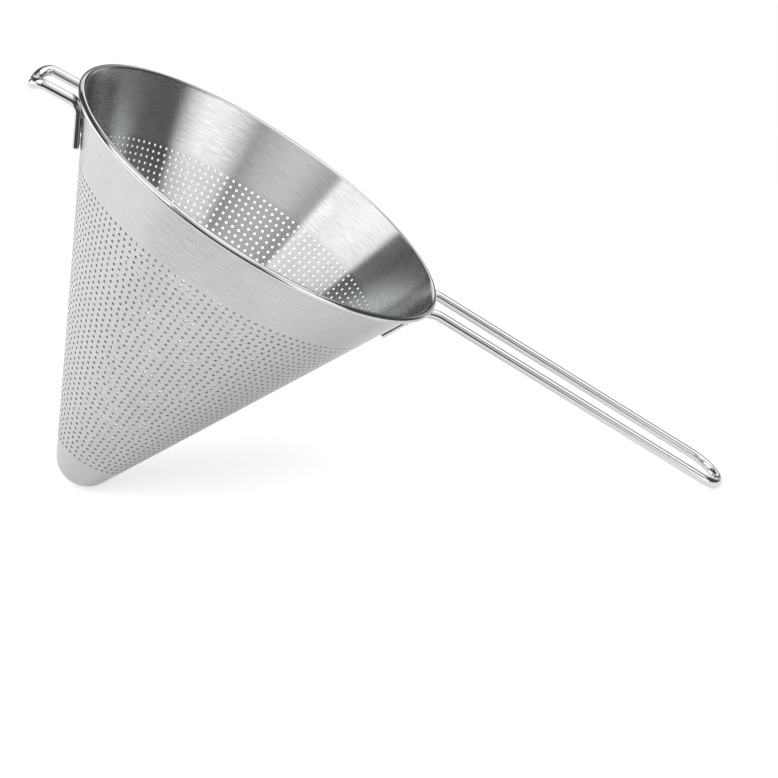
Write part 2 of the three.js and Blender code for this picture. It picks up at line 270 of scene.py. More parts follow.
class SheetFace:
    """Corners and triangles of the sheet's outer face, gathered ring by ring from the tip to the end of the curl."""

    def __init__(self):
        self.points, self.normals, self.marks = [], [], []
        self.triangles, self.holes, self.hole_normals = [], [], []
        self.count = 0
        self.last = None
        self.last_angles = None

    def add(self, section, normal, angles, drop):
        """Corners at angles round the axis, with their normals and their place on the turning lines."""
        shape = np.broadcast_shapes(angles.shape, section.shape[:-1])
        angles = np.broadcast_to(angles, shape)
        self.points.append(turned(section, angles).reshape(-1, 3))
        self.normals.append(turned(normal, angles).reshape(-1, 3))
        marks = np.stack([angles / TURN, np.broadcast_to(drop, shape)], axis=-1)
        self.marks.append(marks.reshape(-1, 2))
        ids = self.count + np.arange(angles.size).reshape(shape)
        self.count += angles.size
        return ids

    def join(self, ids, angles):
        """Triangles between the last ring and this one."""
        if self.last is not None:
            both = np.concatenate([self.last, ids])
            self.triangles.append(both[zip_pattern(self.last_angles, angles)])
        self.last, self.last_angles = ids, angles

    def ring(self, section, normal, sides, drop):
        """A ring of corners, joined to the ring before it."""
        angles = np.arange(sides) * TURN / sides
        self.join(self.add(section, normal, angles, drop), angles)

    def hole_rows(self, wall, drops, edges, count, radius, sides):
        """Rows of cells with a round hole in each; rows share the corners between them.

        A hole's corners lie on a circle unrolled on the wall: across it by radius times cosine, over the wall's own
        radius there, and down it by radius times sine.
        """
        columns = np.arange(count) * TURN / count
        section, normal = wall.straight(edges)
        grid = self.add(section[:, None], normal[:, None], columns[None], edges[:, None])
        self.join(grid[0], columns)
        around = FIRST_CORNER + np.arange(sides) * TURN / sides
        down = drops[:, None, None] - radius * np.sin(around)
        centres, _ = wall.straight(drops)
        middle = columns + pi / count
        angles = middle[None, :, None] + radius * np.cos(around) / centres[:, None, None, 0]
        section, normal = wall.straight(np.broadcast_to(down, angles.shape))
        corners = self.add(section, normal, angles, np.broadcast_to(down, angles.shape))
        hubs = turned(centres[:, None], np.broadcast_to(middle, (len(drops), count)))
        inwards = unit(hubs[:, :, None] - turned(section, angles))
        lower, upper = grid[:-1], grid[1:]
        frame_ids = np.stack([lower, np.roll(lower, -1, 1), np.roll(upper, -1, 1), upper], axis=-1)
        cells = np.concatenate([frame_ids, corners], axis=-1).reshape(-1, 4 + sides)
        quarters = (np.arange(4) * 0.5 - 0.75) * pi
        self.triangles.append(cells[:, zip_pattern(quarters, around)].reshape(-1, 3))
        self.holes.append(corners.reshape(-1, sides))
        self.hole_normals.append(inwards.reshape(-1, sides, 3))
        self.last, self.last_angles = grid[-1], columns


def sheet_face(sizes, wall):
    """The outer face from the tip up: tip arc, plain end of the wall, groups of holes, plain band and curl."""
    face = SheetFace()
    for angle in np.linspace(-pi / 2, -wall.angle, TIP_RINGS)[1:]:
        point, normal = wall.dome(angle)
        face.ring(point, normal, sizes.tip_sides, wall.end + wall.tip_radius * (-wall.angle - angle))
    row = ROW_COUNT
    for group in reversed(range(len(ROW_GROUPS))):
        rows = ROW_GROUPS[group]
        row -= rows
        drops = wall.first_row + np.arange(row + rows - 1, row - 1, -1) * wall.pitch
        edges = np.append(drops + wall.pitch / 2, drops[-1] - wall.pitch / 2)
        edges[0] -= GROUP_GAP * wall.pitch
        edges[-1] += GROUP_GAP * wall.pitch
        count = sizes.first_row_holes - sizes.holes_dropped * group
        face.hole_rows(wall, drops, edges, count, sizes.hole_diameter / 2, sizes.hole_sides)
    for drop in np.linspace(wall.first_row - wall.pitch, 0.0, BAND_RINGS):
        point, normal = wall.straight(drop)
        face.ring(point, normal, sizes.rim_sides, drop)
    for angle in np.linspace(pi - wall.angle, CURL_END, CURL_RINGS)[1:]:
        point, normal = wall.curl(angle)
        face.ring(point, normal, sizes.rim_sides, -wall.bead_radius * (pi - wall.angle - angle))
    return face


def closed_sheet(sizes):
    """The face, its copy a sheet's thickness further in, the walls of the holes and the two ends.

    Gives corners, triangles, a normal for each corner of each triangle and the place on the turning lines.
    """
    wall = Wall(sizes)
    face = sheet_face(sizes, wall)
    tip = wall.tip - np.array([0, wall.tip_radius])
    apex = face.add(tip[None], np.array([[0.0, -1.0]]), np.zeros(1), wall.end)[0]
    points, normals = np.concatenate(face.points), np.concatenate(face.normals)
    marks = np.concatenate(face.marks)
    total = len(points)
    first = np.arange(sizes.tip_sides)
    fan = np.stack([np.full_like(first, apex), np.roll(first, -1), first], axis=1)
    outer = np.concatenate([fan] + face.triangles)
    inner = outer[:, [0, 2, 1]] + total
    loops = np.concatenate(face.holes)
    inwards = np.concatenate(face.hole_normals)
    here, after = loops, np.roll(loops, -1, 1)
    facing, facing_after = inwards, np.roll(inwards, -1, 1)
    half = np.stack([here, after, after + total], axis=-1).reshape(-1, 3)
    half_facing = np.stack([facing, facing_after, facing_after], axis=2).reshape(-1, 3, 3)
    rest = np.stack([here, after + total, here + total], axis=-1).reshape(-1, 3)
    rest_facing = np.stack([facing, facing_after, facing], axis=2).reshape(-1, 3, 3)
    end = face.last
    end_next = np.roll(end, -1)
    lip = np.concatenate([
        np.stack([end, end_next, end_next + total], axis=1),
        np.stack([end, end_next + total, end + total], axis=1),
    ])
    thick = np.concatenate([points, points - sizes.sheet * normals])
    lip_facing = np.cross(thick[lip[:, 1]] - thick[lip[:, 0]], thick[lip[:, 2]] - thick[lip[:, 0]])
    lip_facing = np.repeat(unit(lip_facing)[:, None], 3, axis=1)
    triangles = np.concatenate([outer, inner, half, rest, lip])
    facing = np.concatenate([normals[outer], -normals[inner - total], half_facing, rest_facing, lip_facing])
    marks = np.concatenate([marks, marks])[triangles]
    marks[len(outer) + len(inner):-len(lip), :, 1] += CUT_MARK
    crosses = np.ptp(marks[..., 0], axis=1) > 0.5
    marks[..., 0] += (crosses[:, None] & (marks[..., 0] < 0.5)).astype(float)
    marks[len(outer):len(outer) + len(inner), :, 0] += INNER_MARK
    return place(thick), triangles, directions(facing), marks


class WireSpec:
    """What one bent wire is made to: spacing of its arms, their height and droop, reach, bends and curl."""

    def __init__(self, sizes, wall, spacing, reach, bend, round_end=None, curl=0.0, droop=0.0, depth=None):
        self.sizes, self.wall = sizes, wall
        self.spacing, self.reach, self.bend = spacing, reach, bend
        self.curl, self.droop = curl, droop
        self.round_end = round_end or spacing / 2
        self.radius = sizes.wire_diameter / 2
        self.standoff = sizes.leg_thickness / 2 + sizes.leg_gap
        self.rim_radius = wall.bead[0] + wall.bead_radius
        self.height = self.under_rim() if depth is None else -depth

    def leg_line(self):
        """End of a leg's centre line, its way up and its way out, in the plane of that leg."""
        side = self.spacing / 2
        off = self.standoff / self.wall.normal[0]

        def at(height):
            return np.array([sqrt((self.wall.radius(height) + off) ** 2 - side**2), height])

        end = at(-self.sizes.leg_end)
        up = unit(at(-2 * self.wall.bead_radius) - end)
        return end, up, np.array([up[1], -up[0]])

    def under_rim(self):
        """Height of arms whose bend passes under the rolled rim with the bead clearance."""
        end, up, out = self.leg_line()
        rim = np.array([sqrt(self.wall.bead[0] ** 2 - self.spacing**2 / 4), self.wall.bead[1]])
        reach = self.bend + self.wall.bead_radius + self.radius + self.sizes.bead_clearance
        start = end + self.bend * out - rim
        middle = start @ up
        rise = -middle - sqrt(middle**2 - start @ start + reach**2)
        return rim[1] + start[1] + rise * up[1] + self.bend

    def half_path(self):
        """Centre line from a leg's end to the middle of the loop, with the way its flat faces and how flat it is.

        A straight leg, an arc round the bend, a straight arm, and a quarter turn of the loop that is wrapped down
        onto a cylinder where the end is curled.
        """
        end, up, out = self.leg_line()
        arm = np.array([cos(self.droop), -sin(self.droop)])
        arm_up = np.array([-arm[1], arm[0]])
        turn = acos(up @ arm)
        edge = np.array([self.rim_radius, self.height])
        rise = arm_up @ (edge - end) / (arm_up @ up)
        leg = rise - self.bend * tan(turn / 2)
        side = -self.spacing / 2
        tilt = side / self.wall.radius(-self.sizes.leg_end)

        along = np.linspace(0, leg, LEG_STEPS)
        straight = end + along[:, None] * up
        facing_leg = np.broadcast_to(out, straight.shape)
        angle = np.linspace(0, turn, BEND_STEPS)[1:, None]
        inwards = np.sin(angle) * up - np.cos(angle) * out
        bend = end + leg * up + self.bend * (out + inwards)

        quarter = np.linspace(0, pi / 2, LOOP_STEPS)
        ahead = self.round_end * np.sin(quarter)
        wrapped = ahead / self.curl if self.curl else 0 * ahead
        forth = self.curl * np.sin(wrapped) if self.curl else ahead
        fall = self.curl * (1 - np.cos(wrapped)) if self.curl else 0 * ahead
        loop = forth[:, None] * arm - fall[:, None] * arm_up
        start_x = self.reach - self.radius - loop[-1, 0]
        start = np.array([start_x, self.height - (start_x - self.rim_radius) * tan(self.droop)])
        facing_loop = -np.sin(wrapped)[:, None] * arm - np.cos(wrapped)[:, None] * arm_up
        arm_share = np.linspace(0, 1, ARM_STEPS)[1:-1, None]
        arm_line = bend[-1] + arm_share * (start - bend[-1])
        facing_arm = np.broadcast_to(-arm_up, arm_line.shape)

        plane = np.concatenate([straight, bend, arm_line, start + loop])
        facing = np.concatenate([facing_leg, -inwards, facing_arm, facing_loop])
        flat = np.concatenate([
            np.ones(len(straight)),
            1 - np.clip(FLAT_FADE * angle[:, 0] / turn, 0, 1),
            np.zeros(len(arm_line) + len(loop)),
        ])
        flat = flat * flat * (3 - 2 * flat)
        across = np.concatenate([np.full(len(plane) - len(quarter), side), side * np.cos(quarter)])
        path = np.stack([plane[:, 0], across, plane[:, 1]], axis=1)
        facing = np.stack([facing[:, 0], tilt * flat, facing[:, 1]], axis=1)
        return path, facing, flat


def bent_wire(spec, sides=28, edge=0.0005):
    """A rounded section carried along the whole centre line, mirrored for the second half.

    The section is a superellipse: thickness times a power of the cosine, width times the same power of the sine,
    the power falling from one where the wire is round to two thirds where it is pressed flat. Its ends are rounded.
    """
    path, facing, flat = spec.half_path()
    mirror = np.array([1.0, -1.0, 1.0])
    path = np.concatenate([path, path[-2::-1] * mirror])
    facing = np.concatenate([facing, facing[-2::-1] * mirror])
    flat = np.concatenate([flat, flat[-2::-1]])
    steps = unit(np.diff(path, axis=0))
    along = unit(np.concatenate([steps[:1], steps[:-1] + steps[1:], steps[-1:]]))
    thick = spec.radius + flat * (spec.sizes.leg_thickness / 2 - spec.radius)
    wide = spec.radius + flat * (spec.sizes.leg_width / 2 - spec.radius)

    turn = np.linspace(pi / 2, 0, END_STEPS)[:-1]
    shift, shrink = edge * (1 - np.sin(turn)), edge * (1 - np.cos(turn))
    head = path[0] + shift[:, None] * along[0]
    tail = path[-1] - shift[::-1, None] * along[-1]
    inset = np.concatenate([shrink, np.zeros(len(path)), shrink[::-1]])
    path[0] += edge * along[0]
    path[-1] -= edge * along[-1]
    ends = (len(turn), len(turn))
    path = np.concatenate([head, path, tail])
    along, facing = (np.pad(a, (ends, (0, 0)), mode="edge") for a in (along, facing))
    thick, wide, flat = (np.pad(a, ends, mode="edge") for a in (thick, wide, flat))
    thick, wide = thick - inset, wide - inset

    across = unit(np.cross(along, facing))
    up = np.cross(across, along)
    power = (1 - flat / 3)[:, None]
    angle = np.arange(sides) * TURN / sides
    rise = np.sign(np.cos(angle)) * np.abs(np.cos(angle)) ** power
    spread = np.sign(np.sin(angle)) * np.abs(np.sin(angle)) ** power
    rings = path[:, None] + (thick[:, None] * rise)[..., None] * up[:, None]
    rings = rings + (wide[:, None] * spread)[..., None] * across[:, None]

    count = len(path)
    ids = np.arange(count * sides).reshape(count, sides)
    a, b = ids[:-1], np.roll(ids[:-1], -1, 1)
    c, d = ids[1:], np.roll(ids[1:], -1, 1)
    body = np.concatenate([np.stack([a, b, c], -1).reshape(-1, 3), np.stack([b, d, c], -1).reshape(-1, 3)])
    start, stop = count * sides, count * sides + 1
    first, last = ids[0], ids[-1]
    caps = np.concatenate([
        np.stack([np.full(sides, start), np.roll(first, -1), first], axis=1),
        np.stack([np.full(sides, stop), last, np.roll(last, -1)], axis=1),
    ])
    points = np.concatenate([rings.reshape(-1, 3), path[:1], path[-1:]])
    run = np.concatenate([[0], np.cumsum(np.linalg.norm(np.diff(path, axis=0), axis=1))])
    marks = np.stack(np.broadcast_arrays(angle[None] / TURN, run[:, None]), axis=-1).reshape(-1, 2)
    marks = np.concatenate([marks, [[0.5, 0.0], [0.5, run[-1]]]])
    triangles = np.concatenate([body, caps])
    marks = marks[triangles]
    crosses = np.ptp(marks[..., 0], axis=1) > 0.5
    marks[..., 0] += (crosses[:, None] & (marks[..., 0] < 0.5)).astype(float)
    return points, triangles, marks


def make_piece(name, points, triangles, marks, material, facing=None):
    """A mesh object at the origin from whole arrays, with its own map of marks and, where given, its normals."""
    mesh = bpy.data.meshes.new(name)
    mesh.vertices.add(len(points))
    mesh.vertices.foreach_set("co", np.ascontiguousarray(points, np.float32).ravel())
    mesh.loops.add(triangles.size)
    mesh.loops.foreach_set("vertex_index", np.ascontiguousarray(triangles, np.int32).ravel())
    mesh.polygons.add(len(triangles))
    mesh.polygons.foreach_set("loop_start", np.arange(0, triangles.size, 3, dtype=np.int32))
    mesh.polygons.foreach_set("use_smooth", np.ones(len(triangles), bool))
    mesh.update(calc_edges=True)
    layer = mesh.uv_layers.new(name="marks")
    layer.data.foreach_set("uv", np.ascontiguousarray(marks, np.float32).ravel())
    if facing is None:
        mesh.set_sharp_from_angle(angle=SHARP_ANGLE)
    else:
        mesh.normals_split_custom_set(facing.reshape(-1, 3))
    mesh.materials.append(material)
    piece = bpy.data.objects.new(name, mesh)
    bpy.context.scene.collection.objects.link(piece)
    return piece


class Nodes:
    """A node tree with short ways to add and link its nodes."""

    def __init__(self, tree):
        self.tree = tree

    def add(self, kind, **settings):
        node = self.tree.nodes.new(kind)
        for key, value in settings.items():
            setattr(node, key, value)
        return node

    def link(self, source, target):
        self.tree.links.new(source, target)

    def fill(self, socket, value):
        """A socket linked to, or set to, a value."""
        if isinstance(value, bpy.types.NodeSocket):
            self.link(value, socket)
        else:
            socket.default_value = value

    def math(self, operation, *values, clamp=False):
        node = self.add("ShaderNodeMath", operation=operation, use_clamp=clamp)
        for socket, value in zip(node.inputs, values):
            self.fill(socket, value)
        return node.outputs[0]

    def vector(self, operation, *values):
        node = self.add("ShaderNodeVectorMath", operation=operation)
        for socket, value in zip(node.inputs, values):
            self.fill(socket, value)
        return node

    def noise(self, place_socket, scale, detail=2.0, roughness=0.5):
        node = self.add("ShaderNodeTexNoise")
        self.link(place_socket, node.inputs["Vector"])
        node.inputs["Scale"].default_value = scale
        node.inputs["Detail"].default_value = detail
        node.inputs["Roughness"].default_value = roughness
        return node.outputs["Fac"]

    def remap(self, value, low, high, to_low, to_high):
        node = self.add("ShaderNodeMapRange")
        for socket, number in zip(node.inputs, (value, low, high, to_low, to_high)):
            self.fill(socket, number)
        return node.outputs["Result"]

    def mix(self, factor, first, second):
        node = self.add("ShaderNodeMix", data_type="RGBA")
        self.fill(node.inputs["Factor"], factor)
        self.fill(node.inputs["A"], first)
        self.fill(node.inputs["B"], second)
        return node.outputs["Result"]

    def mix_shader(self, factor, first, second):
        node = self.add("ShaderNodeMixShader")
        self.fill(node.inputs["Fac"], factor)
        self.link(first, node.inputs[1])
        self.link(second, node.inputs[2])
        return node.outputs[0]


def opaque(colour):
    """A linear colour with full alpha."""
    return (*colour, 1.0)


def shade(colour, tone):
    """A linear colour times a tone, with full alpha."""
    return opaque(tone * c for c in colour)


# Fine lines: repeats on the marks map, detail and the part of the noise that is used
SHEET_LINES = {"Along": 14.0, "Across": 9000.0}
WIRE_LINES = {"Along": 90.0, "Across": 40.0}
LINE_DETAIL, NOISE_ROUGHNESS = 3.0, 0.6
LINE_RANGE, BROAD_RANGE = (0.3, 0.7), (0.35, 0.65)

# Wear: smudges and hairline scratches, by their noise and their size
SMUDGE_DETAIL, SMUDGE_RANGE = 4.0, (0.45, 0.75)
SCRATCH_CELLS, SCRATCH_WIDTH = 240.0, 0.02
SCRATCH_PATCHES, PATCH_RANGE = 90.0, (0.58, 0.66)

# Tones against the plain colour, the inner one a painted shade on the inner face between the holes, and what the
# marks add to the roughness
DEEP_TONE, INNER_SHADE_TONE, WIRE_DEEP_TONE = 0.91, 0.75, 0.9
SHEET_SMUDGE, WIRE_SMUDGE = 0.25, 0.5
LINE_GLOSS, BROAD_GLOSS, SMUDGE_GLOSS, SCRATCH_GLOSS = 0.02, 0.035, 0.03, 0.12
WIRE_GLOSS = (-0.02, 0.03)
CUT_ROUGHNESS = 0.5
POLISH_START, POLISH_FULL = -0.0002, -0.0012  # on the marks map, round the curl of the rim
RELIEF_STRENGTH, RELIEF_DEPTH, INNER_RELIEF = 0.018, 0.0002, 0.4
ACROSS_LINES = 0.25  # turn of the stretched highlights, a quarter

# Welds: heat tint, its grain and its gloss
HEAT_BLUE = (0.16, 0.18, 0.24)
HEAT_GRAIN, HEAT_RANGE = 900.0, (0.4, 0.65)
WELD_GLOSS = (0.42, 0.6)


def new_group(name, inputs, outputs):
    """A shader node group with named sockets, and its inner nodes."""
    tree = bpy.data.node_groups.new(name, "ShaderNodeTree")
    for label, kind in inputs:
        tree.interface.new_socket(name=label, in_out="INPUT", socket_type=kind)
    for label, kind in outputs:
        tree.interface.new_socket(name=label, in_out="OUTPUT", socket_type=kind)
    nodes = Nodes(tree)
    return tree, nodes, nodes.add("NodeGroupInput").outputs, nodes.add("NodeGroupOutput").inputs


def drawn_lines_group():
    """Fine lines left by turning or drawing: noise that is stretched along one way of the marks map."""
    name = "Drawn lines"
    if name in bpy.data.node_groups:
        return bpy.data.node_groups[name]
    tree, nodes, given, put = new_group(
        name,
        [("Marks", "NodeSocketVector"), ("Along", "NodeSocketFloat"), ("Across", "NodeSocketFloat")],
        [("Lines", "NodeSocketFloat"), ("Broad", "NodeSocketFloat")],
    )
    split = nodes.add("ShaderNodeSeparateXYZ")
    nodes.link(given["Marks"], split.inputs[0])
    scales = (given["Along"], given["Across"])
    for label, ratios in (("Lines", (1.0, 1.0)), ("Broad", (4.0, 0.17))):
        join = nodes.add("ShaderNodeCombineXYZ")
        for socket, mark, scale, ratio in zip(join.inputs, split.outputs, scales, ratios):
            nodes.fill(socket, nodes.math("MULTIPLY", nodes.math("MULTIPLY", mark, scale), ratio))
        nodes.link(nodes.noise(join.outputs[0], 1.0, LINE_DETAIL, NOISE_ROUGHNESS), put[label])
    return tree


def handling_group():
    """Faint smudges and hairline scratches from use, on Object coordinates."""
    name = "Handling"
    if name in bpy.data.node_groups:
        return bpy.data.node_groups[name]
    tree, nodes, given, put = new_group(
        name,
        [("Place", "NodeSocketVector"), ("Smudge size", "NodeSocketFloat")],
        [("Smudges", "NodeSocketFloat"), ("Scratches", "NodeSocketFloat")],
    )
    scaled = nodes.vector("SCALE", given["Place"])
    nodes.link(given["Smudge size"], scaled.inputs["Scale"])
    smudge = nodes.noise(scaled.outputs[0], 1.0, SMUDGE_DETAIL, NOISE_ROUGHNESS)
    nodes.link(nodes.remap(smudge, *SMUDGE_RANGE, 0.0, 1.0), put["Smudges"])
    cells = nodes.add("ShaderNodeTexVoronoi", feature="DISTANCE_TO_EDGE")
    nodes.link(given["Place"], cells.inputs["Vector"])
    cells.inputs["Scale"].default_value = SCRATCH_CELLS
    hairline = nodes.remap(cells.outputs["Distance"], 0.0, SCRATCH_WIDTH, 1.0, 0.0)
    patches = nodes.remap(nodes.noise(given["Place"], SCRATCH_PATCHES), *PATCH_RANGE, 0.0, 1.0)
    nodes.link(nodes.math("MULTIPLY", hairline, patches), put["Scratches"])
    return tree


def use_group(nodes, tree, **values):
    """A group placed in a material, with its inputs by name."""
    node = nodes.add("ShaderNodeGroup", node_tree=tree)
    for label, value in values.items():
        nodes.fill(node.inputs[label.replace("_", " ")], value)
    return node.outputs


def new_material(name):
    """A material with a plain metal shader, its nodes and that shader."""
    material = bpy.data.materials.new(name)
    material.use_nodes = True
    shader = material.node_tree.nodes["Principled BSDF"]
    shader.inputs["Metallic"].default_value = 1.0
    return material, Nodes(material.node_tree), shader


def sheet_steel(finish, wall):
    """Satin steel turned on its axis: lines round the cone stretch highlights along the wall.

    It is smoother between the holes, polished on the rim and dull in the holes; painted shade darkens its inner face
    between the holes and the walls of its holes.
    """
    material, nodes, shader = new_material("turned sheet steel")
    marks = nodes.add("ShaderNodeUVMap", uv_map="marks").outputs[0]
    spot = nodes.add("ShaderNodeTexCoord").outputs["Object"]
    lines = use_group(nodes, drawn_lines_group(), Marks=marks, **SHEET_LINES)
    worn = use_group(nodes, handling_group(), Place=spot, Smudge_size=38.0)
    base = finish.sheet_colour
    deep = shade(base, DEEP_TONE)
    colour = nodes.mix(nodes.remap(lines["Broad"], *BROAD_RANGE, 0.0, 1.0), opaque(base), deep)
    colour = nodes.mix(nodes.math("MULTIPLY", worn["Smudges"], SHEET_SMUDGE), colour, deep)
    gloss = finish.sheet_roughness
    rough = nodes.remap(lines["Lines"], *LINE_RANGE, gloss - LINE_GLOSS, gloss + LINE_GLOSS)
    rough = nodes.math("ADD", rough, nodes.remap(lines["Broad"], *BROAD_RANGE, -BROAD_GLOSS, BROAD_GLOSS))
    rough = nodes.math("ADD", rough, nodes.math("MULTIPLY", worn["Smudges"], SMUDGE_GLOSS))
    split = nodes.add("ShaderNodeSeparateXYZ")
    nodes.link(marks, split.inputs[0])
    edge = wall.first_row - wall.pitch
    punched = nodes.remap(split.outputs[1], edge, edge + wall.pitch, 0.0, 1.0)
    inside = nodes.math("GREATER_THAN", split.outputs[0], 0.75 * INNER_MARK)
    # Painted shade: the inner face between the holes is darkened, so the inside seen through the holes looks dark
    colour = nodes.mix(nodes.math("MULTIPLY", punched, inside), colour, shade(base, INNER_SHADE_TONE))
    rolled = nodes.math("MULTIPLY", punched, gloss - finish.punched_roughness)
    rough = nodes.math("SUBTRACT", rough, rolled)
    on_rim = nodes.remap(split.outputs[1], POLISH_START, POLISH_FULL, 0.0, 1.0)
    polish = nodes.math("MULTIPLY", on_rim, gloss - finish.rim_roughness)
    rough = nodes.math("SUBTRACT", rough, polish)
    in_hole = nodes.math("LESS_THAN", split.outputs[1], 0.5 * CUT_MARK)
    cut = nodes.math("MULTIPLY", in_hole, CUT_ROUGHNESS)
    nodes.link(nodes.math("MAXIMUM", rough, cut), shader.inputs["Roughness"])
    # The walls of the holes take the darker cut colour: sheared steel, and painted shade in the holes
    nodes.link(nodes.mix(in_hole, colour, opaque(finish.cut_and_shade_colour)), shader.inputs["Base Color"])
    shader.inputs["Anisotropic"].default_value = finish.sheet_turning
    shader.inputs["Anisotropic Rotation"].default_value = ACROSS_LINES
    tangent = nodes.add("ShaderNodeTangent", direction_type="UV_MAP", uv_map="marks")
    nodes.link(tangent.outputs[0], shader.inputs["Tangent"])
    bump = nodes.add("ShaderNodeBump")
    bump.inputs["Strength"].default_value = RELIEF_STRENGTH
    bump.inputs["Distance"].default_value = RELIEF_DEPTH
    relief = nodes.remap(inside, 0.0, 1.0, 1.0, INNER_RELIEF)
    nodes.link(nodes.math("MULTIPLY", lines["Lines"], relief), bump.inputs["Height"])
    nodes.link(bump.outputs[0], shader.inputs["Normal"])
    return material


def wire_steel(finish):
    """Polished drawn wire: close to a mirror, with faint lines along it and hairline scratches."""
    material, nodes, shader = new_material("polished wire steel")
    marks = nodes.add("ShaderNodeUVMap", uv_map="marks").outputs[0]
    spot = nodes.add("ShaderNodeTexCoord").outputs["Object"]
    lines = use_group(nodes, drawn_lines_group(), Marks=marks, **WIRE_LINES)
    worn = use_group(nodes, handling_group(), Place=spot, Smudge_size=60.0)
    base = finish.wire_colour
    smudged = nodes.math("MULTIPLY", worn["Smudges"], WIRE_SMUDGE)
    nodes.link(nodes.mix(smudged, opaque(base), shade(base, WIRE_DEEP_TONE)), shader.inputs["Base Color"])
    rough = nodes.remap(lines["Lines"], *LINE_RANGE, *(finish.wire_roughness + more for more in WIRE_GLOSS))
    rough = nodes.math("ADD", rough, nodes.math("MULTIPLY", worn["Scratches"], SCRATCH_GLOSS))
    nodes.link(rough, shader.inputs["Roughness"])
    return material


def weld_steel(finish):
    """Fused metal: dull, with a straw and blue heat tint in soft spots."""
    material, nodes, shader = new_material("fused weld steel")
    spot = nodes.add("ShaderNodeTexCoord").outputs["Object"]
    tone = nodes.noise(spot, HEAT_GRAIN, LINE_DETAIL)
    heat = nodes.remap(tone, *HEAT_RANGE, 0.0, 1.0)
    nodes.link(nodes.mix(heat, opaque(finish.weld_colour), opaque(HEAT_BLUE)), shader.inputs["Base Color"])
    nodes.link(nodes.remap(tone, *LINE_RANGE, *WELD_GLOSS), shader.inputs["Roughness"])
    return material


def material_once(name, build, finish):
    """A material by its name, made on first use."""
    return bpy.data.materials.get(name) or build(finish)


class SIEVE_OT_cone(Operator):
    """Build the perforated sheet with its tip and rolled rim"""

    bl_idname = "sieve.cone"
    bl_label = "Perforated Cone"

    def execute(self, context):
        scene = context.scene
        points, triangles, facing, marks = closed_sheet(scene.sieve_cone)
        steel = sheet_steel(scene.sieve_finish, Wall(scene.sieve_cone))
        piece = make_piece("perforated_cone", points, triangles, marks, steel, facing)
        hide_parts("sieve_cone")
        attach(piece, "root")
        return {"FINISHED"}


def add_wire(scene, name, node, spec, half_turn):
    """One bent wire in polished steel, turned to the other side of the cone where asked, in place of its node."""
    points, triangles, marks = bent_wire(spec)
    if half_turn:
        points = points * np.array([-1.0, -1.0, 1.0])
    steel = material_once("polished wire steel", wire_steel, scene.sieve_finish)
    piece = make_piece(name, place(points), triangles, marks, steel)
    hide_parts(node)
    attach(piece, "root")


class SIEVE_OT_handle(Operator):
    """Build the handle from one bent wire"""

    bl_idname = "sieve.handle"
    bl_label = "Loop Handle"

    def execute(self, context):
        scene = context.scene
        w = scene.sieve_wires
        spec = WireSpec(w, Wall(scene.sieve_cone), w.handle_spacing, w.handle_reach, w.handle_bend)
        add_wire(scene, "bent_loop_handle", "loop_handle", spec, False)
        return {"FINISHED"}


class SIEVE_OT_hook(Operator):
    """Build the pot hook from one bent wire"""

    bl_idname = "sieve.hook"
    bl_label = "Pot Hook"

    def execute(self, context):
        scene = context.scene
        w = scene.sieve_wires
        spec = WireSpec(
            w, Wall(scene.sieve_cone), w.hook_spacing, w.hook_reach, w.hook_bend,
            w.hook_end, w.hook_curl, w.hook_droop, w.hook_depth,
        )
        add_wire(scene, "bent_pot_hook", "pot_hook", spec, True)
        return {"FINISHED"}


class SIEVE_OT_welds(Operator):
    """Give the spot welds their fused metal"""

    bl_idname = "sieve.welds"
    bl_label = "Spot Welds"

    def execute(self, context):
        metal = material_once("fused weld steel", weld_steel, context.scene.sieve_finish)
        welds = [node for name, node in frame["nodes"].items() if "_weld_" in name]
        if not welds:
            raise RuntimeError("the packed frame has no spot welds")
        for node in welds:
            node.data.materials.clear()
            node.data.materials.append(metal)
        return {"FINISHED"}


def softbox_group():
    """Light of one softbox far away: its strength inside two half sizes on the plane it faces, with soft edges."""
    name = "Softbox"
    if name in bpy.data.node_groups:
        return bpy.data.node_groups[name]
    numbers = ("Half width", "Half height", "Edge", "Strength")
    tree, nodes, given, put = new_group(
        name,
        [(label, "NodeSocketVector") for label in ("Ray", "Facing", "Side")]
        + [(label, "NodeSocketFloat") for label in numbers],
        [("Light", "NodeSocketFloat")],
    )
    ahead = nodes.vector("DOT_PRODUCT", given["Ray"], given["Facing"]).outputs["Value"]
    upwards = nodes.vector("CROSS_PRODUCT", given["Facing"], given["Side"]).outputs["Vector"]
    near = nodes.math("MAXIMUM", ahead, 0.01)
    light = nodes.math("MULTIPLY", given["Strength"], nodes.math("GREATER_THAN", ahead, 0.0))
    for axis, half in ((given["Side"], given["Half width"]), (upwards, given["Half height"])):
        off = nodes.vector("DOT_PRODUCT", given["Ray"], axis).outputs["Value"]
        off = nodes.math("ABSOLUTE", nodes.math("DIVIDE", off, near))
        fade = nodes.add("ShaderNodeMapRange", interpolation_type="SMOOTHSTEP")
        nodes.fill(fade.inputs["Value"], off)
        nodes.fill(fade.inputs["From Min"], nodes.math("SUBTRACT", half, given["Edge"]))
        nodes.fill(fade.inputs["From Max"], nodes.math("ADD", half, given["Edge"]))
        fade.inputs["To Min"].default_value = 1.0
        fade.inputs["To Max"].default_value = 0.0
        light = nodes.math("MULTIPLY", light, fade.outputs["Result"])
    nodes.link(light, put["Light"])
    return tree


